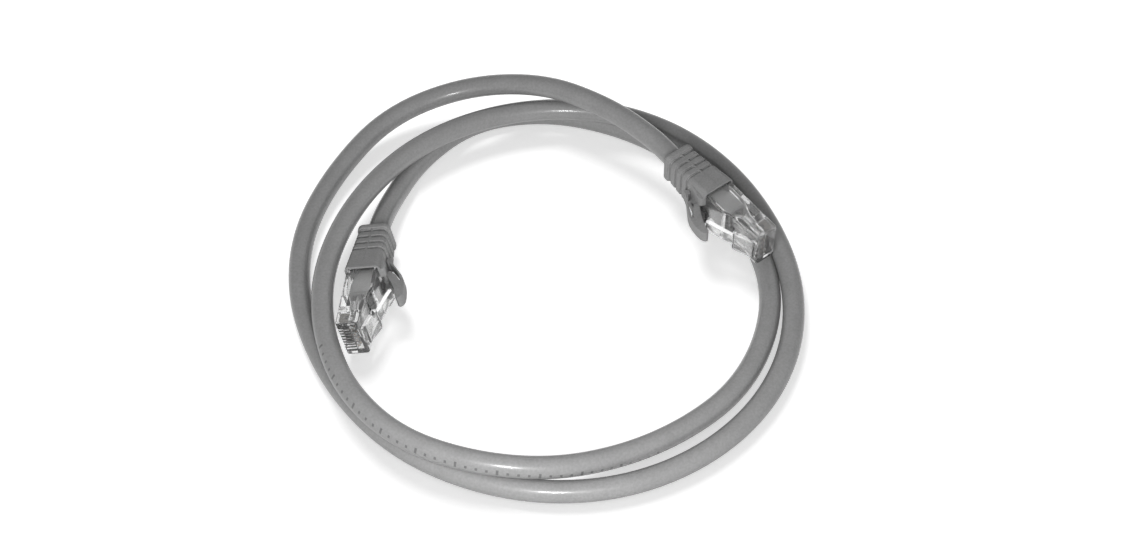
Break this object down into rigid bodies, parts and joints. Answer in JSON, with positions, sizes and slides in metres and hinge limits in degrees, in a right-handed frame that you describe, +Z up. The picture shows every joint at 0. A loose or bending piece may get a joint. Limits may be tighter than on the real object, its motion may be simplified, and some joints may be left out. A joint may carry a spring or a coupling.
{
  "type": "ethernet patch cable",
  "caption": "Ethernet patch cable lying as a loose coil, with a clear modular plug, sprung latch, latch guard and moulded strain relief boot at each end.",
  "frame": {"origin": "on the table, under the middle of the box round both plugs", "axes": "+Z up from the table; +X to the right and +Y away from the viewer, as the picture shows the coil"},
  "size_m": [0.1367, 0.1375, 0.0193],
  "materials": {
    "cord_pvc": "semi-gloss grey flexible PVC",
    "filler": "matt natural",
    "insulation_light": "satin pale grey",
    "insulation_dark": "satin dark grey",
    "copper": "bare copper",
    "contact_gold": "gold-plated, polished",
    "clear_plastic": "clear polycarbonate, polished",
    "load_bar": "clear polycarbonate",
    "boot_pvc": "matt grey moulded PVC"
  },
  "bodies": {
    "cord": {"cord_sheath": "cord_pvc", "cord_filler": "filler", "wire_1_insulation": "insulation_light", "wire_1_conductor": "copper", "wire_2_insulation": "insulation_dark", "wire_2_conductor": "copper", "wire_3_insulation": "insulation_light", "wire_3_conductor": "copper", "wire_4_insulation": "insulation_dark", "wire_4_conductor": "copper", "wire_5_insulation": "insulation_light", "wire_5_conductor": "copper", "wire_6_insulation": "insulation_dark", "wire_6_conductor": "copper", "wire_7_insulation": "insulation_light", "wire_7_conductor": "copper", "wire_8_insulation": "insulation_dark", "wire_8_conductor": "copper", "plug_a_housing": "clear_plastic", "plug_a_contact_1": "contact_gold", "plug_a_contact_2": "contact_gold", "plug_a_contact_3": "contact_gold", "plug_a_contact_4": "contact_gold", "plug_a_contact_5": "contact_gold", "plug_a_contact_6": "contact_gold", "plug_a_contact_7": "contact_gold", "plug_a_contact_8": "contact_gold", "plug_a_load_bar": "load_bar", "plug_a_cord_clamp": "clear_plastic", "plug_a_boot": "boot_pvc", "plug_b_housing": "clear_plastic", "plug_b_contact_1": "contact_gold", "plug_b_contact_2": "contact_gold", "plug_b_contact_3": "contact_gold", "plug_b_contact_4": "contact_gold", "plug_b_contact_5": "contact_gold", "plug_b_contact_6": "contact_gold", "plug_b_contact_7": "contact_gold", "plug_b_contact_8": "contact_gold", "plug_b_load_bar": "load_bar", "plug_b_cord_clamp": "clear_plastic", "plug_b_boot": "boot_pvc"},
    "latch_a": {"plug_a_latch": "clear_plastic"},
    "guard_a": {"plug_a_latch_guard": "boot_pvc"},
    "latch_b": {"plug_b_latch": "clear_plastic"},
    "guard_b": {"plug_b_latch_guard": "boot_pvc"}
  },
  "joints": [
    {"name": "latch_a_hinge", "type": "hinge", "parent": "cord", "child": "latch_a", "pos_m": [0.05085, -0.00245, 0.01156], "axis": [0.0034, 0.068, -0.9977], "range_deg": [0, 7], "stiffness_Nm_per_rad": 0.05},
    {"name": "guard_a_hinge", "type": "hinge", "parent": "cord", "child": "guard_a", "pos_m": [0.03427, 0.01532, 0.01271], "axis": [-0.0034, -0.068, 0.9977], "range_deg": [0, 9.2], "stiffness_Nm_per_rad": 0.03},
    {"name": "latch_b_hinge", "type": "hinge", "parent": "cord", "child": "latch_b", "pos_m": [-0.04904, -0.02871, 0.00893], "axis": [-0.2019, 0.0776, 0.9763], "range_deg": [0, 7], "stiffness_Nm_per_rad": 0.05},
    {"name": "guard_b_hinge", "type": "hinge", "parent": "cord", "child": "guard_b", "pos_m": [-0.04444, -0.00483, 0.00798], "axis": [0.2019, -0.0776, -0.9763], "range_deg": [0, 9.2], "stiffness_Nm_per_rad": 0.03}
  ],
  "couplings": [
    {"joint": "guard_a_hinge", "follows": "latch_a_hinge", "ratio": 1.3},
    {"joint": "guard_b_hinge", "follows": "latch_b_hinge", "ratio": 1.3}
  ]
}
